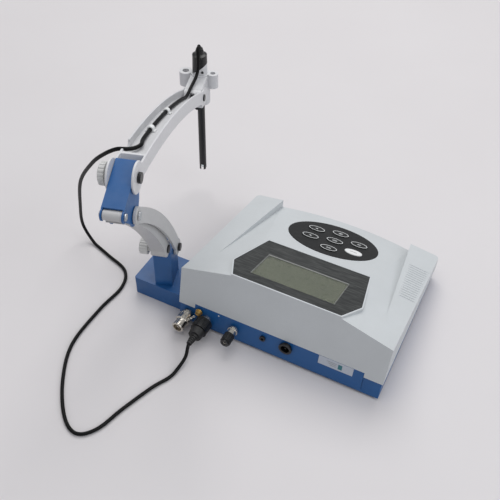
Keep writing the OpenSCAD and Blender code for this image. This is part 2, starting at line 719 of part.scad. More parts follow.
// smooth path; the first and last points only set the end directions
function path(points, steps) = [
  for (i=[1:len(points)-3]) for (k=[0:steps-1])
    spline(points[i-1], points[i], points[i+1], points[i+2], k/steps),
  points[len(points)-2]];
module tube(line) {
  sides = 10;
  last = len(line)-1;
  tangents = [for (i=[0:last]) let (d=line[min(i+1,last)]-line[max(i-1,0)]) d/norm(d)];
  normals = [for (t=tangents) let (n=cross(t, abs(t[2])>0.8 ? [1,0.35,0] : [0,0,1])) n/norm(n)];
  rings = [for (i=[0:last]) for (j=[0:sides-1]) let (a=j*360/sides)
    line[i]+cable_r*cos(a)*normals[i]+cable_r*sin(a)*cross(normals[i], tangents[i])];
  polyhedron(points=rings, faces=concat(
    [[for (j=[0:sides-1]) j]],
    [[for (j=[sides-1:-1:0]) last*sides+j]],
    [for (i=[0:last-1]) for (j=[0:sides-1]) let (k=(j+1)%sides)
      [i*sides+k, i*sides+j, (i+1)*sides+j, (i+1)*sides+k]]));
}
// arm frame to meter frame
function from_arm(x, y, z) = [swivel_x+x*cos(arm_yaw)-y*sin(arm_yaw),
  swivel_y+x*sin(arm_yaw)+y*cos(arm_yaw), z];
function in_channel(u) = from_arm(cable_x, channel(u)[0], channel(u)[1]);

// from the plug, down to the table and round the stand
module cable_tail() color(BLACK) tube(path([
  [85,128,14],[85,boot_end+12.8,14],[81.5,157,9],[83,170,4],[85.5,184,table_z],
  [95,203,table_z],[108,240,table_z],[117,270,table_z],[133,284,table_z],
  [156,272,table_z],[184,237,table_z],[203,195,table_z],[205,140,table_z],
  [202,102,table_z],[214,77,table_z],[246,65,table_z],[270,57,table_z],
  [290,52,table_z]], 6));
// out of the notch in the upper arm and down to the table
module cable_drop() color(BLACK) tube(path([
  in_channel(100),in_channel(84),from_arm(4.6,29,239),from_arm(11.4,43.5,243.4),
  from_arm(22.2,54.9,238),[178,135,215],[226,104,150],[271,70,80],[290,52,24],
  [271.5,56.5,table_z],[250,64,table_z]], 7));
module cable_arm() color(BLACK) tube([for (i=[0:24]) in_channel(86+i*6.3)]);
// from the electrode cap over into the arm channel; rows are [x, y from the axis, z]
loop_rows = [[0,0,203],[0,0,210.3],[-0.2,1.6,212.8],[-0.4,5.6,213.7],[-0.7,9.8,211.4],
  [-0.9,12,205.5],[-0.9,12.4,197.5],[-0.8,13,190],[-0.2,16.6,183.4],[1,24,180.2],
  [2.2,36,179]];
module cable_loop() color(BLACK) arm() tube(path(concat(
  [for (p=loop_rows) p+[0,axis_y,0]],
  [[3,channel(240)[0],channel(240)[1]+0.3],[3,channel(220)[0],channel(220)[1]]]), 7));

top_housing();
bottom_housing();
rear_panel();
display_bezel();
display_window();
lcd_glass();
lcd_backlight();
keypad_overlay();
key_up();
key_down();
key_mode();
key_cal();
key_store();
key_range();
key_enter();
keypad_mat();
main_board();
housing_screws();
rubber_feet();
rating_label();
bnc_socket();
shorting_cap();
tether_chain();
ground_screw();
electrode_socket();
plug_ring();
plug_boot();
post_base();
post_cap();
temp_jack();
dc_socket();
stand_base();
base_screws();
swivel_bolt();
post();
lower_arm();
lower_link();
post_pins();
lower_knob();
elbow_bracket();
elbow_pins();
upper_bolt();
upper_knob();
upper_arm();
upper_link();
cable_clips();
electrode_head();
head_pins();
clamp_screw();
electrode_cap();
electrode_collar();
strain_relief();
refill_sleeve();
electrode_shaft();
glass_bulb();
cable_tail();
cable_drop();
cable_arm();
cable_loop();
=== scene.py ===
"""A bench pH meter with a swing-arm electrode stand and its cable, on a paper floor.

Shapes are in millimetres (MM converts them), +Z up, standing on z = 0. The meter's panel
slopes up from its front (-y) to its rear (+y), and the stand's post is at the +x side. The
arm carries the electrode forward to the -y side.
"""
import json
import math

import bpy
import numpy as np
from mathutils import Matrix, Vector


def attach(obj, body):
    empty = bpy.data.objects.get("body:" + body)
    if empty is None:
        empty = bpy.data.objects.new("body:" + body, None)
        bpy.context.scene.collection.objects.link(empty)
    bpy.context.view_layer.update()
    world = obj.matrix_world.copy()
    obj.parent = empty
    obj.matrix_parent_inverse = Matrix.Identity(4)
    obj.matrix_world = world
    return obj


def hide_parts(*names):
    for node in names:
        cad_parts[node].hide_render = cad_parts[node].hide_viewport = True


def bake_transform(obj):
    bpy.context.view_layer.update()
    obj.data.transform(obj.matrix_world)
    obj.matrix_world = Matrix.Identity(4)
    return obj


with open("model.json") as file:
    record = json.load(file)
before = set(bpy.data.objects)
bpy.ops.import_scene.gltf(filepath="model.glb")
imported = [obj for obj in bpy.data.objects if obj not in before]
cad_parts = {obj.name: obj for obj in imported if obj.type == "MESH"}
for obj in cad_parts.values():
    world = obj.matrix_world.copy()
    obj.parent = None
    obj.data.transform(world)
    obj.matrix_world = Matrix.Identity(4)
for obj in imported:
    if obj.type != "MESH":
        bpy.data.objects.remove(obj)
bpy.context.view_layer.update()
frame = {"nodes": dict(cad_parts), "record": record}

MM = 0.001
cad_nodes = frame["nodes"]
cad_slots = {part["node"]: part["material_slot"] for part in frame["record"]["subparts"]}


# ---------------------------------------------------------------- shader helpers
def linear(red, green, blue):
    """Linear RGBA from 0-255 sRGB."""
    def decode(c):
        return c / 12.92 if c <= 0.04045 else ((c + 0.055) / 1.055) ** 2.4
    return (decode(red / 255), decode(green / 255), decode(blue / 255), 1.0)


def scaled(color, factor, lift=0.0):
    return tuple(min(1, c * factor + lift) for c in color[:3]) + (1,)


class Shader:
    """A material with a Principled surface, and short helpers that add its nodes."""

    def __init__(self, name):
        self.material = bpy.data.materials.new(name)
        self.material.use_nodes = True
        self.tree = self.material.node_tree
        self.tree.nodes.clear()
        output = self.node("ShaderNodeOutputMaterial")
        surface = self.node("ShaderNodeBsdfPrincipled")
        self.tree.links.new(surface.outputs[0], output.inputs[0])
        self.surface = surface.inputs
        self.coords = self.node("ShaderNodeTexCoord").outputs["Object"]

    def node(self, kind, **settings):
        node = self.tree.nodes.new(kind)
        for key, value in settings.items():
            setattr(node, key, value)
        return node

    def put(self, socket, value):
        """Link another node's output to the socket, or set a plain value."""
        if isinstance(value, bpy.types.NodeSocket):
            self.tree.links.new(value, socket)
        else:
            socket.default_value = value

    def mapped(self, scale, rotation=(0, 0, 0)):
        node = self.node("ShaderNodeMapping")
        self.put(node.inputs["Vector"], self.coords)
        node.inputs["Scale"].default_value = scale
        node.inputs["Rotation"].default_value = rotation
        return node.outputs[0]

    def noise(self, scale, detail=3.0, roughness=0.55, vector=None):
        node = self.node("ShaderNodeTexNoise")
        self.put(node.inputs["Vector"], self.coords if vector is None else vector)
        node.inputs["Scale"].default_value = scale
        node.inputs["Detail"].default_value = detail
        node.inputs["Roughness"].default_value = roughness
        return node.outputs["Fac"]

    def remap(self, value, span, to):
        node = self.node("ShaderNodeMapRange")
        self.put(node.inputs["Value"], value)
        for key, limit in zip(("From Min", "From Max", "To Min", "To Max"), (*span, *to)):
            node.inputs[key].default_value = limit
        return node.outputs["Result"]

    def math(self, operation, first, second):
        node = self.node("ShaderNodeMath", operation=operation)
        self.put(node.inputs[0], first)
        self.put(node.inputs[1], second)
        return node.outputs[0]

    def mix(self, factor, first, second):
        node = self.node("ShaderNodeMix", data_type="RGBA", blend_type="MIX")
        for index, value in ((0, factor), (6, first), (7, second)):
            self.put(node.inputs[index], value)
        return node.outputs[2]

    def bump(self, height, strength, distance, normal=None):
        node = self.node("ShaderNodeBump")
        node.inputs["Strength"].default_value = strength
        node.inputs["Distance"].default_value = distance
        self.put(node.inputs["Height"], height)
        if normal is not None:
            self.put(node.inputs["Normal"], normal)
        return node.outputs[0]

    def edge(self, radius):
        """0 on flat ground, rising at edges tighter than the radius (metres)."""
        bevel = self.node("ShaderNodeBevel", samples=4)
        bevel.inputs["Radius"].default_value = radius
        geometry = self.node("ShaderNodeNewGeometry")
        dot = self.node("ShaderNodeVectorMath", operation="DOT_PRODUCT")
        self.put(dot.inputs[0], bevel.outputs[0])
        self.put(dot.inputs[1], geometry.outputs["Normal"])
        return self.remap(dot.outputs["Value"], span=(0.995, 0.90), to=(0.0, 1.0))


def add_wear(g, color, worn, amount):
    """Patchy paler colour along the edges."""
    edge = g.edge(radius=0.0009)
    patches = g.remap(g.noise(scale=330), span=(0.42, 0.62), to=(0.15, 1.0))
    edge = g.math("MULTIPLY", edge, patches)
    return g.mix(g.math("MULTIPLY", edge, amount), color, worn)


def add_dust(g, color, amount):
    """Patchy dust on faces that look up."""
    geometry = g.node("ShaderNodeNewGeometry")
    split = g.node("ShaderNodeSeparateXYZ")
    g.put(split.inputs[0], geometry.outputs["Normal"])
    upward = g.remap(split.outputs["Z"], span=(0.5, 1.0), to=(0.0, amount))
    patches = g.remap(g.noise(scale=70, detail=5), span=(0.4, 0.75), to=(0, 1))
    return g.mix(g.math("MULTIPLY", upward, patches), color, (0.55, 0.53, 0.5, 1))


def finish(name, rgb, rough, metal=0.0, vary=0.06, grain=1500, grain_bump=0.25, wear=0.25,
           wear_rgb=None, specular=0.5, rough_spread=0.10, scratch=0.0, subsurface=0.0,
           dust=0.0, brushed=None, overlay=None):
    """Opaque material: vary is the colour swing, grain a noise scale, brushed a noise
    scale per axis, overlay a function that adds to the colour; the rest are strengths."""
    g = Shader(name)
    base = linear(*rgb)
    broad = g.noise(scale=16)
    middle = g.noise(scale=190, detail=4, roughness=0.6)
    fine = g.noise(scale=grain, detail=2, roughness=0.5)

    dark, light = scaled(base, 1 - vary), scaled(base, 1 + vary)
    color = g.mix(g.remap(broad, span=(0.3, 0.7), to=(0, 1)), dark, light)
    color = g.mix(g.remap(middle, span=(0.35, 0.75), to=(0.0, 0.35)), color, dark)
    color = g.mix(g.remap(fine, span=(0.45, 0.8), to=(0.0, 0.25)), color, light)
    if overlay is not None:
        color = overlay(g, color)
    if wear > 0:
        worn = linear(*wear_rgb) if wear_rgb else scaled(base, 1.35, lift=0.02)
        color = add_wear(g, color, worn, wear)
    if dust > 0:
        color = add_dust(g, color, dust)
    g.put(g.surface["Base Color"], color)

    half = rough_spread / 2
    roughness = g.remap(middle, span=(0.3, 0.7), to=(max(0.02, rough - half), rough + half))
    normal = g.bump(fine, strength=grain_bump, distance=0.00006)
    if scratch > 0:
        vector = g.mapped(scale=(900, 60, 900), rotation=(0.3, 0.2, 0.9))
        lines = g.noise(scale=1, detail=2, roughness=0.5, vector=vector)
        lines = g.remap(lines, span=(0.62, 0.70), to=(0, 1))
        normal = g.bump(lines, strength=scratch, distance=0.00002, normal=normal)
    if brushed is not None:
        lines = g.noise(scale=1, detail=3, roughness=0.6, vector=g.mapped(brushed))
        normal = g.bump(lines, strength=0.25, distance=0.00003, normal=normal)
        swing = g.remap(lines, span=(0.3, 0.7), to=(-0.06, 0.08))
        roughness = g.math("ADD", roughness, swing)
    g.put(g.surface["Roughness"], roughness)
    g.put(g.surface["Metallic"], metal)
    g.put(g.surface["Specular IOR Level"], specular)
    if subsurface:
        g.put(g.surface["Subsurface Weight"], subsurface)
        g.put(g.surface["Subsurface Radius"], (0.002, 0.0018, 0.0016))
        g.put(g.surface["Subsurface Scale"], 1.0)
    g.put(g.surface["Normal"], normal)
    return g.material


def clear(name, rgb, rough, ior):
    """Transparent material with faint cloudiness and ripple."""
    g = Shader(name)
    base = linear(*rgb)
    g.put(g.surface["Base Color"], g.mix(g.noise(scale=120), base, scaled(base, 0.95)))
    roughness = g.remap(g.noise(scale=400), span=(0.3, 0.7), to=(rough, rough + 0.06))
    g.put(g.surface["Roughness"], roughness)
    g.put(g.surface["IOR"], ior)
    g.put(g.surface["Transmission Weight"], 1.0)
    ripple = g.bump(g.noise(scale=90, detail=2), strength=0.03, distance=0.0001)
    g.put(g.surface["Normal"], ripple)
    return g.material


def film_streaks(g, color):
    """Fine diagonal streaks of a printed display surround."""
    slant = (0, 0, -0.95)
    vector = g.mapped(scale=(55, 620, 300), rotation=slant)
    wide = g.noise(scale=1, detail=2, roughness=0.5, vector=vector)
    vector = g.mapped(scale=(160, 1500, 700), rotation=slant)
    thin = g.noise(scale=1, detail=3, roughness=0.6, vector=vector)
    wide = g.remap(wide, span=(0.42, 0.62), to=(0.1, 1.0))
    thin = g.remap(thin, span=(0.35, 0.7), to=(0.3, 1.0))
    streaks = g.math("MULTIPLY", wide, thin)
    return g.mix(g.math("MULTIPLY", streaks, 0.9), color, linear(84, 86, 84))


def lcd_cells(g, color):
    """Faint grid of the cell behind the glass."""
    brick = g.node("ShaderNodeTexBrick")
    g.put(brick.inputs["Vector"], g.mapped((1700, 1700, 1700)))
    brick.inputs["Scale"].default_value = 1.0
    brick.inputs["Mortar Size"].default_value = 0.03
    brick.offset = 0.0
    lines = g.remap(brick.outputs["Fac"], span=(0, 1), to=(0.0, 0.14))
    return g.mix(lines, color, linear(96, 98, 84))


# ---------------------------------------------------------------- materials
SLOT_MATERIALS = {
    "grey_shell": finish(
        "shell_grey", (200, 204, 206), rough=0.42, grain=1700, grain_bump=0.22, vary=0.035,
        wear=0.30, scratch=0.10, dust=0.05, specular=0.45),
    "blue_shell": finish(
        "shell_blue", (22, 86, 146), rough=0.40, vary=0.10, wear=0.30,
        wear_rgb=(86, 128, 186), scratch=0.12, dust=0.04),
    "dark_bezel": finish(
        "display_film", (36, 38, 38), rough=0.36, grain=2400, grain_bump=0.10, wear=0.2,
        rough_spread=0.06, overlay=film_streaks, specular=0.35),
    "window_clear": clear("display_clear", (222, 226, 216), rough=0.10, ior=1.46),
    "lcd": finish(
        "lcd_panel", (166, 166, 154), rough=0.30, grain=900, grain_bump=0.03, vary=0.05,
        wear=0.0, overlay=lcd_cells, specular=0.6),
    "white_plastic": finish(
        "plastic_white", (232, 233, 233), rough=0.38, grain=1900, grain_bump=0.12,
        vary=0.03, wear=0.2, subsurface=0.05),
    "keypad_black": finish(
        "keypad_film", (17, 19, 19), rough=0.46, grain=2600, grain_bump=0.22, vary=0.12,
        wear_rgb=(70, 74, 74), specular=0.35),
    "keypad_rubber": finish(
        "silicone", (196, 196, 190), rough=0.6, grain=1400, grain_bump=0.2, vary=0.05,
        wear=0.1, subsurface=0.1),
    "circuit_board": finish(
        "board_green", (28, 104, 58), rough=0.35, grain=700, grain_bump=0.3, vary=0.2,
        wear=0.3, wear_rgb=(190, 160, 90)),
    "steel": finish(
        "zinc_steel", (196, 198, 200), rough=0.30, metal=1.0, grain=900, grain_bump=0.15,
        vary=0.10, wear=0.4, wear_rgb=(240, 240, 242), brushed=(60, 60, 2600)),
    "nickel": finish(
        "nickel_plate", (214, 208, 198), rough=0.20, metal=1.0, grain=700, grain_bump=0.10,
        vary=0.10, wear=0.5, wear_rgb=(250, 246, 238), brushed=(1400, 90, 1400)),
    "gold_plate": finish(
        "gold_flash", (214, 178, 112), rough=0.26, metal=1.0, grain=900, grain_bump=0.10,
        vary=0.12, wear=0.4, brushed=(900, 80, 900)),
    "black_rubber": finish(
        "rubber_black", (24, 24, 25), rough=0.55, grain=1100, grain_bump=0.30, vary=0.25,
        wear=0.35, wear_rgb=(62, 62, 62), dust=0.10),
    "black_plastic": finish(
        "plastic_black", (20, 20, 22), rough=0.32, grain_bump=0.18, vary=0.2, wear=0.35,
        wear_rgb=(78, 78, 80), scratch=0.1),
    "label_film": finish(
        "label_print", (188, 194, 204), rough=0.36, grain=1300, grain_bump=0.06, vary=0.03,
        wear=0.15),
    "arm_grey": finish(
        "arm_plastic_grey", (190, 190, 190), rough=0.42, vary=0.04, wear=0.35,
        wear_rgb=(214, 214, 214), scratch=0.12, dust=0.05),
    "arm_light": finish(
        "arm_plastic_light", (214, 214, 216), rough=0.40, grain_bump=0.22, vary=0.03,
        wear=0.35, wear_rgb=(238, 238, 238), scratch=0.10, dust=0.04),
    "knob_grey": finish(
        "knob_plastic", (204, 204, 202), rough=0.45, grain=1300, grain_bump=0.30, vary=0.04,
        wear=0.45, wear_rgb=(236, 236, 234), dust=0.10),
    "electrode_glass": clear("ph_glass", (226, 236, 238), rough=0.01, ior=1.50),
    "cable_black": finish(
        "cable_jacket", (7, 7, 8), rough=0.5, grain=1400, grain_bump=0.22, vary=0.25,
        wear=0.0, specular=0.18),
}
print_white = finish("print_white", (222, 224, 224), rough=0.5, grain=2600, grain_bump=0.10,
                     wear=0.0)
print_grey = finish("print_grey", (150, 152, 152), rough=0.5, grain=2600, grain_bump=0.10,
                    wear=0.0)
print_teal = finish("print_teal", (52, 118, 128), rough=0.45, grain=2200, grain_bump=0.08,
                    vary=0.08, wear=0.0)
display_edge = finish("display_edge", (118, 120, 116), rough=0.30, grain=1800,
                      grain_bump=0.08, vary=0.05, wear=0.2)
# Light grey of the lens rim; the keypad's ring also takes it, as a painted highlight.
display_rim = finish("display_rim", (214, 219, 223), rough=0.35, grain=1800,
                     grain_bump=0.10, vary=0.03, wear=0.2)
# A touch darker than the shell's grey: painted shade that stands in for the shading which shows
# the ribs.
ribs_painted_shade = finish("ribs_painted_shade", (196, 200, 202), rough=0.42, grain=1700, grain_bump=0.15,
                    vary=0.03, wear=0.0)

for name, obj in cad_nodes.items():
    obj.data.materials.clear()
    obj.data.materials.append(SLOT_MATERIALS[cad_slots[name]])

# ---------------------------------------------------------------- softened CAD edges
# bevel width mm, segments, smallest angle bevelled in degrees, pieces
EDGE_ROUNDING = (
    (0.7, 3, 34, "top_housing"),
    (0.7, 2, 30, "bottom_housing"),
    (0.35, 2, 30, "rear_panel"),
    (0.25, 2, 30, "display_bezel"),
    (0.18, 2, 30, "keypad_overlay"),
    (0.2, 1, 30, "lcd_glass"),
    (0.8, 3, 30, "stand_base lower_arm"),
    (0.9, 3, 30, "post lower_link"),
    (0.45, 2, 30, "elbow_bracket"),
    (0.6, 3, 30, "upper_arm"),
    (0.4, 2, 30, "upper_link"),
    (0.6, 2, 32, "electrode_head"),
    (0.35, 2, 40, "lower_knob"),
    (0.4, 2, 40, "upper_knob"),
    (0.25, 2, 40, "electrode_cap shorting_cap plug_boot post_base clamp_screw elbow_pins"),
    (0.2, 2, 40, "strain_relief bnc_socket temp_jack ground_screw"),
    (0.2, 2, 40, "electrode_shaft refill_sleeve electrode_collar"),
    (0.3, 2, 40, "plug_ring post_cap dc_socket post_pins head_pins upper_bolt"),
    (0.3, 2, 40, "swivel_bolt rubber_feet"),
    (0.15, 2, 40, "cable_clips"),
    (0.1, 1, 40, "rating_label"),
    (0.35, 3, 40, "key_up key_down key_mode key_cal key_store key_range key_enter"),
)
OTHER_ROUNDING = (0.15, 1, 40)
rounding = {name: row for *row, names in EDGE_ROUNDING for name in names.split()}


def soften(obj, width, segments, angle):
    mesh = obj.data
    for face in mesh.polygons:
        face.use_smooth = True
    imported_normals = mesh.attributes.get("custom_normal")
    if imported_normals is not None:
        mesh.attributes.remove(imported_normals)
    weld = obj.modifiers.new("weld", "WELD")
    weld.merge_threshold = 2e-6
    planar = obj.modifiers.new("planar", "DECIMATE")
    planar.decimate_type = "DISSOLVE"
    planar.angle_limit = math.radians(0.7)
    bevel = obj.modifiers.new("round", "BEVEL")
    bevel.limit_method = "ANGLE"
    bevel.angle_limit = math.radians(angle)
    bevel.width = width * MM
    bevel.segments = segments
    bevel.use_clamp_overlap = True
    bevel.miter_outer = "MITER_ARC"
    triangulate = obj.modifiers.new("tri", "TRIANGULATE")
    triangulate.keep_custom_normals = False
    sharp = obj.modifiers.new("sharp", "EDGE_SPLIT")
    sharp.split_angle = math.radians(50)
    weighted = obj.modifiers.new("weighted", "WEIGHTED_NORMAL")
    weighted.weight = 60
    weighted.keep_sharp = True


for name, obj in cad_nodes.items():
    soften(obj, *rounding.get(name, OTHER_ROUNDING))


# ---------------------------------------------------------------- shapes: (vertices, faces)
def side_faces(rings, size, wrap=False):
    """Quads between rings of size points; wrap joins the last ring to the first."""
    faces = []
    for i in range(rings if wrap else rings - 1):
        here, there = i * size, (i + 1) % rings * size
        for j in range(size):
            k = (j + 1) % size
            faces.append((here + j, here + k, there + k, there + j))
    return faces


def cap_faces(rings, size):
    last = (rings - 1) * size
    return [tuple(range(size - 1, -1, -1)), tuple(range(last, last + size))]


def loft(rings):
    """Solid skinned over the rings, with capped ends."""
    count, size = len(rings), len(rings[0])
    return [p for ring in rings for p in ring], side_faces(count, size) + cap_faces(count, size)


def prism(outline, low, high):
    size = len(outline)
    verts = [(x, y, height) for height in (low, high) for x, y in outline]
    return verts, cap_faces(2, size) + side_faces(2, size)


def band(outer, inner, profile):
    """Closed frame between matching outlines; profile is a closed list of
    (0 at inner to 1 at outer, height)."""
    verts = [(a[0] * t + b[0] * (1 - t), a[1] * t + b[1] * (1 - t), height)
             for t, height in profile for a, b in zip(outer, inner)]
    return verts, side_faces(len(profile), len(outer), wrap=True)


def ellipse_band(centre, radii, width, steps, profile):
    """Elliptical band; radii are the outer ones."""
    def outline(inset):
        turns = [2 * math.pi * i / steps for i in range(steps)]
        return [(centre[0] + (radii[0] - inset) * math.cos(turn),
                 centre[1] + (radii[1] - inset) * math.sin(turn)) for turn in turns]
    return band(outline(0), outline(width), profile)


def rectangle(centre_x, centre_y, half_x, half_y):
    return [(centre_x + x * half_x, centre_y + y * half_y)
            for x, y in ((-1, -1), (1, -1), (1, 1), (-1, 1))]


def disc(x, y, radius, low, high, segments):
    """Short cylinder whose end faces close on tiny rings at the centre."""
    centre = 1e-4
    turns = [2 * math.pi * j / segments for j in range(segments)]
    return loft([[(x + r * math.cos(turn), y + r * math.sin(turn), height) for turn in turns]
                 for r, height in ((centre, low), (radius, low), (radius, high), (centre, high))])


def unit(vector):
    return vector / np.linalg.norm(vector)


def corners(outline):
    """Each point with its two neighbours: (previous, point, next)."""
    points = [np.array(p, float) for p in outline]
    return zip(points[-1:] + points[:-1], points, points[1:] + points[:1])


def grown(outline, distance):
    """Counterclockwise outline moved outwards, with mitred corners."""
    moved = []
    for before, point, after in corners(outline):
        edge_in, edge_out = unit(point - before), unit(after - point)
        normal_in = np.array([edge_in[1], -edge_in[0]])
        normal_out = np.array([edge_out[1], -edge_out[0]])
        mitre = unit(normal_in + normal_out)
        moved.append(tuple(point + mitre * distance / (mitre @ normal_in)))
    return moved


def round_corners(outline, reach, steps):
    """Quadratic curves that start and end at reach from each corner."""
    points = []
    for before, point, after in corners(outline):
        start = point + unit(before - point) * reach
        end = point + unit(after - point) * reach
        for j in range(steps + 1):
            t = j / steps
            points.append(tuple((1 - t) ** 2 * start + 2 * t * (1 - t) * point + t * t * end))
    return points


def placed(shape, place):
    verts, faces = shape
    return [place(*v) for v in verts], faces


def add_solid(name, shapes, material, body=None, split_angle=35):
    """One object from several closed shapes; it rides on body if one is given."""
    verts, faces = [], []
    for shape_verts, shape_faces in shapes:
        base = len(verts)
        verts += shape_verts
        faces += [tuple(i + base for i in face) for face in shape_faces]
    mesh = bpy.data.meshes.new(name)
    mesh.from_pydata([tuple(c * MM for c in v) for v in verts], [], faces)
    mesh.validate()
    mesh.update()
    for face in mesh.polygons:
        face.use_smooth = True
    obj = bpy.data.objects.new(name, mesh)
    bpy.context.scene.collection.objects.link(obj)
    mesh.materials.append(material)
    if body:
        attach(obj, body)
    obj.modifiers.new("split", "EDGE_SPLIT").split_angle = math.radians(split_angle)
    return obj


# ---------------------------------------------------------------- panel rims
PANEL_TILT = math.radians(18)
PANEL_Z = 57  # height of the panel's origin


def on_panel(u, v, height):
    """Scene point from panel coordinates: u along x, v up the slope, height off the panel."""
    return (u, v * math.cos(PANEL_TILT) - height * math.sin(PANEL_TILT),
            PANEL_Z + v * math.sin(PANEL_TILT) + height * math.cos(PANEL_TILT))


# u, v of the display lens
LENS = [(-63, -0.5), (60.5, -0.5), (72.5, 67), (60, 95.5), (-61.5, 95.5), (-74.5, 67)]
lens_rim = band(grown(LENS, 0.75), grown(LENS, 0.12),
                [(0.0, -0.25), (0.0, 0.06), (0.35, 0.14), (0.7, 0.10), (1.0, -0.05)])
add_solid("lens_rim", [placed(lens_rim, on_panel)], display_rim, "meter")

LCD_CENTRE = (-1.0, 55)
LCD_HALF_WIDTH, LCD_HALF_HEIGHT = 47.95, 24.95
LCD_FRAME_WIDTH = 1.05


def lcd_outline(inset):
    sharp = rectangle(*LCD_CENTRE, LCD_HALF_WIDTH - inset, LCD_HALF_HEIGHT - inset)
    return round_corners(sharp, reach=0.5, steps=4)


lcd_frame = band(lcd_outline(0), lcd_outline(LCD_FRAME_WIDTH),
                 [(0.0, -0.80), (0.0, -0.72), (0.6, -0.25), (1.0, -0.02), (1.0, -0.80)])
add_solid("lcd_frame", [placed(lcd_frame, on_panel)], display_edge, "meter")

# Thin light ring around the keypad's oval: a painted highlight for the light halo at the oval's
# edge, which has no raised border.
keypad_highlight_ring = ellipse_band(centre=(0, -54.5), radii=(56.7, 41.2), width=0.55, steps=128,
                          profile=[(0.0, -0.2), (0.0, 0.06), (0.4, 0.13), (1.0, -0.05)])
add_solid("keypad_highlight_ring", [placed(keypad_highlight_ring, on_panel)], display_rim, "meter")

# ---------------------------------------------------------------- key marks
KEY_TOP = 1.2  # above the panel
MARK_BOTTOM = KEY_TOP - 0.1
KEY_PITCH = 22.5
# u, v of the key nearest the front, keys from front to rear
KEY_COLUMNS = (
    (26, -68.5, ("up", "down")),
    (-2.5, -76, ("mode", "cal", "store")),
    (-30, -64, ("range", "enter")),
)
# key: half thickness, then (v from the key's centre, half length) of each bar
KEY_BARS = {
    "mode": (0.33, ((-1.4, 1.6), (0, 3.0), (1.4, 1.6))),
    "cal": (0.3, ((-0.75, 2.9), (0.75, 2.9))),
    "store": (0.3, ((-0.75, 2.9), (0.75, 2.9))),
    "range": (0.3, ((-0.75, 2.2), (0.75, 2.2))),
    "enter": (0.45, ((0, 4.2),)),
}


def key_ring(u, v):
    low, high = MARK_BOTTOM, KEY_TOP + 0.06
    return ellipse_band((u, v), radii=(10.15, 5.75), width=0.85, steps=64,
                        profile=[(0, low), (0.05, high), (0.95, high), (1, low)])


def arrowhead(u, v, way):
    """Notched arrowhead that points to -v when way is 1, to +v when it is -1."""
    outline = [(u - 1.9, v + 0.9 * way), (u, v - 1.5 * way),
               (u + 1.9, v + 0.9 * way), (u, v + 0.5 * way)]
    return prism(outline, MARK_BOTTOM, KEY_TOP + 0.05)


def add_key_marks(key, u, v):
    shapes = [] if key == "enter" else [key_ring(u, v)]
    if key in ("up", "down"):
        shapes.append(arrowhead(u, v, 1 if key == "up" else -1))
    else:
        half_thickness, bars = KEY_BARS[key]
        shapes += [prism(rectangle(u, v + offset, half_length, half_thickness),
                         MARK_BOTTOM, KEY_TOP + 0.04) for offset, half_length in bars]
    add_solid("marks_" + key, [placed(shape, on_panel) for shape in shapes],
              print_grey if key == "enter" else print_white, "key_" + key)


for u, front_v, keys in KEY_COLUMNS:
    for i, key in enumerate(keys):
        add_key_marks(key, u, front_v + i * KEY_PITCH)

# ---------------------------------------------------------------- ribs on the -x shoulder
RIB_COUNT, RIB_PITCH, FIRST_RIB_Y = 16, 4.05, -53
RIB_OUTER_X = -118.6
RIB_HALF_WIDTH, RIB_HEIGHT = 0.95, 0.92
RIB_SINK, RIB_FOOT = 0.12, 0.5  # how deep the arc and the foot lie below the shoulder
RIB_STEPS, RIB_ARC_STEPS = 14, 8


def shoulder_z(x, y):
    return 50.7 + 0.147 * (120 - abs(x)) + 0.1964 * y


def rib(y):
    """Rounded rib along x that tapers at both ends; its inner end follows the panel's edge."""
    inner_x = -(84.5 + (y + 112) / 220 * 22.5 + 1.6)
    rings = []
    for i in range(RIB_STEPS + 1):
        t = i / RIB_STEPS
        x = inner_x + (RIB_OUTER_X - inner_x) * t
        taper = min(1.0, min(t, 1 - t) * RIB_STEPS / 2.0)
        swell = 0.005 if i in (0, RIB_STEPS) else 0.25 + 0.75 * taper
        ring = []
        for j in range(RIB_ARC_STEPS + 1):
            turn = math.pi * j / RIB_ARC_STEPS
            side_y = y + RIB_HALF_WIDTH * math.cos(turn)
            rise = RIB_HEIGHT * math.sin(turn) * swell
            ring.append((x, side_y, shoulder_z(x, side_y) - RIB_SINK + rise))
        ring.append((x, y, shoulder_z(x, y) - RIB_FOOT))
        rings.append(ring)
    return loft(rings)


# The ribs take the darker grey, as painted shade along them.
add_solid("shoulder_ribs", [rib(FIRST_RIB_Y + i * RIB_PITCH) for i in range(RIB_COUNT)],
          ribs_painted_shade, "meter")

# ---------------------------------------------------------------- prints on the rear face
PRINT_THICKNESS = 0.12
LABEL_FACE, PORT_FACE = 0.30, -0.28  # y off the rear plane where the prints start


def on_rear(x, z, out):
    """Scene point on the leaning rear plane, moved out along +y."""
    return (x, 105 - 0.2 * (z - 24) + out, z)


def add_rear_print(name, shapes, material):
    add_solid(name, [placed(shape, on_rear) for shape in shapes], material,
              "meter")


def label_print(outline):
    return prism(outline, LABEL_FACE, LABEL_FACE + PRINT_THICKNESS)


def label_line(z):
    end = -60.0 + (z - 24.6)
    return label_print([(-69.0, z), (end, z), (end, z + 0.5), (-69.0, z + 0.5)])


add_rear_print("label_bar", [label_print(rectangle(-73.25, 24.6, 2.25, 3.0))], print_teal)
add_rear_print("label_lines", [label_line(z) for z in (22.6, 24.6, 26.6)], print_grey)
add_rear_print("port_dots", [disc(70, 26.5, radius=0.8, low=PORT_FACE,
                                  high=PORT_FACE + PRINT_THICKNESS, segments=24)], print_white)

# ---------------------------------------------------------------- cable path
POST_X, POST_Y = 150, 85
ARM_YAW = math.radians(17.2)
ELECTRODE_Y = -203  # along the arm, from the post
CABLE_RADIUS = 1.9
REST_Z = 2.2  # centre of the cable where it lies on the table
CABLE_SEGMENTS = 18
CABLE_STEP = 1.6

# The upper arm is a shallow arc between these (y, z) points in the arm's own plane.
ARC_START, ARC_END, ARC_RISE = (85, 246), (-165, 166.5), 12
ARC_CHORD = math.dist(ARC_START, ARC_END)
ARC_RADIUS = (ARC_CHORD * ARC_CHORD / 4 + ARC_RISE * ARC_RISE) / (2 * ARC_RISE)


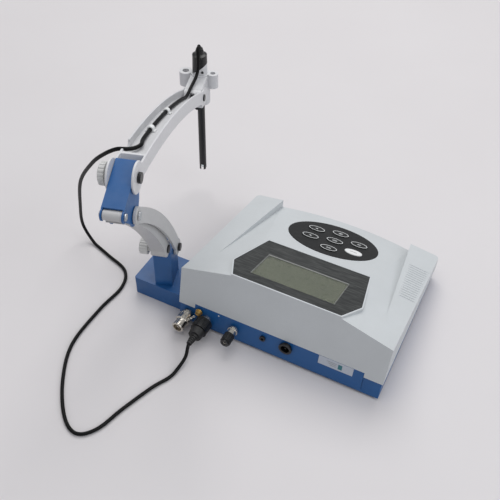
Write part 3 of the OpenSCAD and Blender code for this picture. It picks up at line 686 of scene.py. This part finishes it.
def from_arm(x, y, z):
    """Scene point from the arm's frame, which turns about the post."""
    return (POST_X + x * math.cos(ARM_YAW) - y * math.sin(ARM_YAW),
            POST_Y + x * math.sin(ARM_YAW) + y * math.cos(ARM_YAW), z)


def arm_xy(point):
    dx, dy = point[0] - POST_X, point[1] - POST_Y
    return (dx * math.cos(ARM_YAW) + dy * math.sin(ARM_YAW),
            -dx * math.sin(ARM_YAW) + dy * math.cos(ARM_YAW))


def on_arc(along, above=1.75):
    """Scene point at a distance along the chord and above the upper arm's arc."""
    x = along - ARC_CHORD / 2
    radius = ARC_RADIUS + above
    rise = math.sqrt(radius * radius - x * x) - ARC_RADIUS + ARC_RISE
    slope = math.atan2(ARC_END[1] - ARC_START[1], ARC_END[0] - ARC_START[0])
    y = ARC_START[0] + along * math.cos(slope) + rise * math.sin(slope)
    z = ARC_START[1] + along * math.sin(slope) - rise * math.cos(slope)
    return from_arm(3.0, y, z)


def smooth_path(points, steps):
    """Catmull-Rom curve from the second point to the last but one."""
    path = []
    points = [np.array(p, float) for p in points]
    for a, b, c, d in zip(points, points[1:], points[2:], points[3:]):
        for k in range(steps):
            t = k / steps
            path.append(0.5 * (2 * b + (c - a) * t + (2 * a - 5 * b + 4 * c - d) * t * t
                               + (3 * b - a - 3 * c + d) * t ** 3))
    path.append(points[-2])
    return path


def resample(path, step):
    points = [np.array(p, float) for p in path]
    samples, travelled = [points[0]], 0.0
    for start, end in zip(points, points[1:]):
        left = np.linalg.norm(end - start)
        while travelled + left >= step:
            start = start + (end - start) * ((step - travelled) / left)
            samples.append(start)
            left = np.linalg.norm(end - start)
            travelled = 0.0
        travelled += left
    if np.linalg.norm(samples[-1] - points[-1]) > 0.3 * step:
        samples.append(points[-1])
    return samples


def tube_rings(path, radius, segments):
    """Round sections carried along the path without twist."""
    last = len(path) - 1
    rings = []
    side = None
    for i, point in enumerate(path):
        tangent = unit(path[min(i + 1, last)] - path[max(i - 1, 0)])
        if side is None:
            side = unit(np.cross(tangent, np.array([0, 0, 1.0])))
        else:
            side = unit(side - tangent * (side @ tangent))
        other = np.cross(tangent, side)
        turns = [2 * math.pi * j / segments for j in range(segments)]
        rings.append([tuple(point + radius * (math.cos(turn) * side + math.sin(turn) * other))
                      for turn in turns])
    return rings


# x, y, z from the meter's rear over the table
TABLE_POINTS = [(85, 128, 14), (85, 145.1, 14), (81.5, 157, 9), (83, 170, 4)] + [
    (x, y, REST_Z) for x, y in (
        (85.5, 184), (95, 203), (108, 240), (117, 270), (133, 284), (156, 272), (184, 237),
        (203, 195), (205, 140), (202, 102), (214, 77), (246, 65), (270, 57), (290, 52))]
# from the upper arm down to the table
DROP_POINTS = [
    on_arc(100), on_arc(84), from_arm(2.4, 22, 237.6), from_arm(0.2, 31, 240.2),
    from_arm(1.4, 37.6, 241.6), from_arm(5.6, 42.6, 242.4), from_arm(11.4, 45.5, 243.3),
    (154.8, 133.4, 242), (170, 133.5, 231), (192, 127.5, 208), (232, 104, 154),
    (271, 70, 80), (290, 52, 24), (271.5, 56.5, REST_Z), (250, 64, REST_Z)]
# arm x, y from the electrode, z: the bow from the arm into the electrode's cap
BOW_POINTS = (
    (2.2, 36, 179), (1, 24, 180.2), (-0.2, 16.6, 183.4), (-0.8, 13, 190),
    (-0.9, 12.4, 197.5), (-0.9, 12, 205.5), (-0.7, 9.8, 211.4), (-0.4, 5.6, 213.7),
    (-0.2, 1.6, 212.4), (0, 0, 209.2), (0, 0, 203))

bow = [on_arc(200), on_arc(220), on_arc(240, above=2.05)]
bow += [from_arm(x, ELECTRODE_Y + y, z) for x, y, z in BOW_POINTS]
channel = [on_arc(along) for along in range(86, 220, 2)]
cable = np.array(resample(
    smooth_path(TABLE_POINTS, steps=12) + smooth_path(DROP_POINTS, steps=14)[::-1]
    + channel + smooth_path(bow, steps=12), CABLE_STEP))
# light smoothing so that the joins between sections have no kink
for _ in range(6):
    cable[1:-1] = 0.5 * cable[1:-1] + 0.25 * (cable[:-2] + cable[2:])
cable[:, 2] = np.maximum(cable[:, 2], REST_Z - 0.15)


# ---------------------------------------------------------------- cable pieces
# Each gives the two ends of a piece's span from one body to the next; the loop below computes
# them, and nothing uses them.
def lift_span(first, last):
    return (205, 137, REST_Z), (268, 57.5, REST_Z)


def upright_span(first, last):
    return (first[0], first[1], first[2] + 1), (first[0], first[1], last[2] - 1)


def across_arm_span(first, last):
    return (from_arm(arm_xy(first)[0] - 0.5, 50, 220), from_arm(arm_xy(last)[0] + 0.5, 50, 220))


def along_arm_span(first, last):
    return from_arm(0, arm_xy(first)[1] - 0.5, 190), from_arm(0, arm_xy(last)[1] + 0.5, 190)


def cap_span(first, last):
    # the far end lies 13.5 mm short of the electrode, along the arm
    return from_arm(0, arm_xy(first)[1] - 0.5, 190), from_arm(0, ELECTRODE_Y + 13.5, 190)


# name, bodies (the first holds a piece that has no span), span, CAD pieces it replaces
CABLE_PIECES = (
    ("cable_table", ("meter",), None, ["cable_tail"]),
    ("cable_lift", ("meter", "post"), lift_span, ["cable_drop"]),
    ("cable_hang_low", ("post", "lower_arm"), upright_span, []),
    ("cable_hang_mid", ("lower_arm", "elbow"), upright_span, []),
    ("cable_hang_top", ("elbow", "upper_arm"), across_arm_span, []),
    ("cable_channel", ("upper_arm",), None, ["cable_arm"]),
    ("cable_bow", ("upper_arm", "head"), along_arm_span, ["cable_loop"]),
    ("cable_into_cap", ("head", "electrode"), cap_span, []),
)
# where each piece but the last ends: the first later point that passes the test
PIECE_ENDS = (
    lambda p: p[1] < 150 and p[0] > 190,
    lambda p: p[2] > 45,
    lambda p: p[2] > 120,
    lambda p: p[2] > 196,
    lambda p: arm_xy(p)[0] < 13.5,
    lambda p: arm_xy(p)[1] < -128,
    lambda p: arm_xy(p)[1] < -164,
)
cuts = [0]
for passes in PIECE_ENDS:
    cuts.append(next(i for i in range(cuts[-1], len(cable)) if passes(cable[i])))
cuts.append(len(cable) - 1)

# one set of sections for the whole cable, so neighbouring pieces share their end rings
cable_rings = tube_rings(cable, CABLE_RADIUS, CABLE_SEGMENTS)
for (name, bodies, span, replaced), first, last in zip(CABLE_PIECES, cuts, cuts[1:]):
    piece = add_solid(name, [loft(cable_rings[first:last + 1])],
                      SLOT_MATERIALS["cable_black"], split_angle=60)
    if span is None:
        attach(piece, bodies[0])
    else:
        start, end = span(cable[first], cable[last])
        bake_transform(piece)
    if replaced:
        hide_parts(*replaced)


# ---------------------------------------------------------------- floor (metres from here)
def floor_material():
    g = Shader("floor_paper")
    clouds = g.noise(scale=3.0, detail=4)
    fibre = g.noise(scale=700)
    g.put(g.surface["Base Color"], g.mix(clouds, linear(216, 212, 213), linear(222, 219, 220)))
    g.put(g.surface["Roughness"], g.remap(fibre, span=(0.3, 0.7), to=(0.55, 0.7)))
    g.put(g.surface["Specular IOR Level"], 0.25)
    g.put(g.surface["Normal"], g.bump(fibre, strength=0.05, distance=0.0001))
    return g.material


def add_floor(half_size, cells):
    material = floor_material()
    ticks = [-half_size + 2 * half_size * i / cells for i in range(cells + 1)]
    row = cells + 1
    corner_ids = [j * row + i for j in range(cells) for i in range(cells)]
    mesh = bpy.data.meshes.new("floor")
    mesh.from_pydata([(x, y, 0.0) for y in ticks for x in ticks], [],
                     [(k, k + 1, k + row + 1, k + row) for k in corner_ids])
    floor = bpy.data.objects.new("floor", mesh)
    bpy.context.scene.collection.objects.link(floor)
    mesh.materials.append(material)


add_floor(half_size=6.0, cells=24)


# ---------------------------------------------------------------- light and camera
def set_world(color, strength):
    world = bpy.data.worlds.new("studio")
    bpy.context.scene.world = world
    world.use_nodes = True
    nodes = world.node_tree.nodes
    nodes.clear()
    output = nodes.new("ShaderNodeOutputWorld")
    background = nodes.new("ShaderNodeBackground")
    background.inputs["Color"].default_value = color
    background.inputs["Strength"].default_value = strength
    world.node_tree.links.new(background.outputs[0], output.inputs[0])


def add_area_light(name, place, target, size, power, color=(1, 1, 1)):
    light = bpy.data.lights.new(name, "AREA")
    light.shape = "RECTANGLE"
    light.size, light.size_y = size
    light.energy = power
    light.color = color
    obj = bpy.data.objects.new(name, light)
    bpy.context.scene.collection.objects.link(obj)
    obj.location = place
    obj.rotation_mode = "QUATERNION"
    obj.rotation_quaternion = (Vector(target) - Vector(place)).to_track_quat("-Z", "Y")


def add_camera(place, right, up, forward, lens):
    data = bpy.data.cameras.new("camera")
    camera = bpy.data.objects.new("camera", data)
    bpy.context.scene.collection.objects.link(camera)
    data.lens = lens
    data.sensor_width = 36
    data.clip_start, data.clip_end = 0.02, 50
    pose = Matrix((right, up, -Vector(forward))).transposed().to_4x4()
    pose.translation = place
    camera.matrix_world = pose
    bpy.context.scene.camera = camera


set_world(color=(0.93, 0.95, 1.0, 1), strength=0.40)
add_area_light("key", place=(0.55, -1.3, 2.2), target=(0.08, 0.0, 0.05), size=(1.9, 1.5),
               power=31, color=(1.0, 0.99, 0.97))
add_area_light("fill", place=(-1.7, 0.3, 1.4), target=(0.0, 0.0, 0.05), size=(1.4, 1.4),
               power=12, color=(0.95, 0.97, 1.0))
add_area_light("top", place=(0.1, 0.2, 2.4), target=(0.05, 0.0, 0.0), size=(2.0, 2.0), power=10)
# looks down on the meter from behind, on the +y side
add_camera(place=(-0.17338, 0.53895, 0.62566),
           right=(-0.89236213, -0.45079786, 0.02170522),
           up=(0.33211868, -0.62335005, 0.7079067),
           forward=(0.30559287, -0.63891784, -0.70597237), lens=50.926)
bpy.context.scene.view_settings.view_transform = "Standard"
bpy.context.scene.view_settings.look = "None"
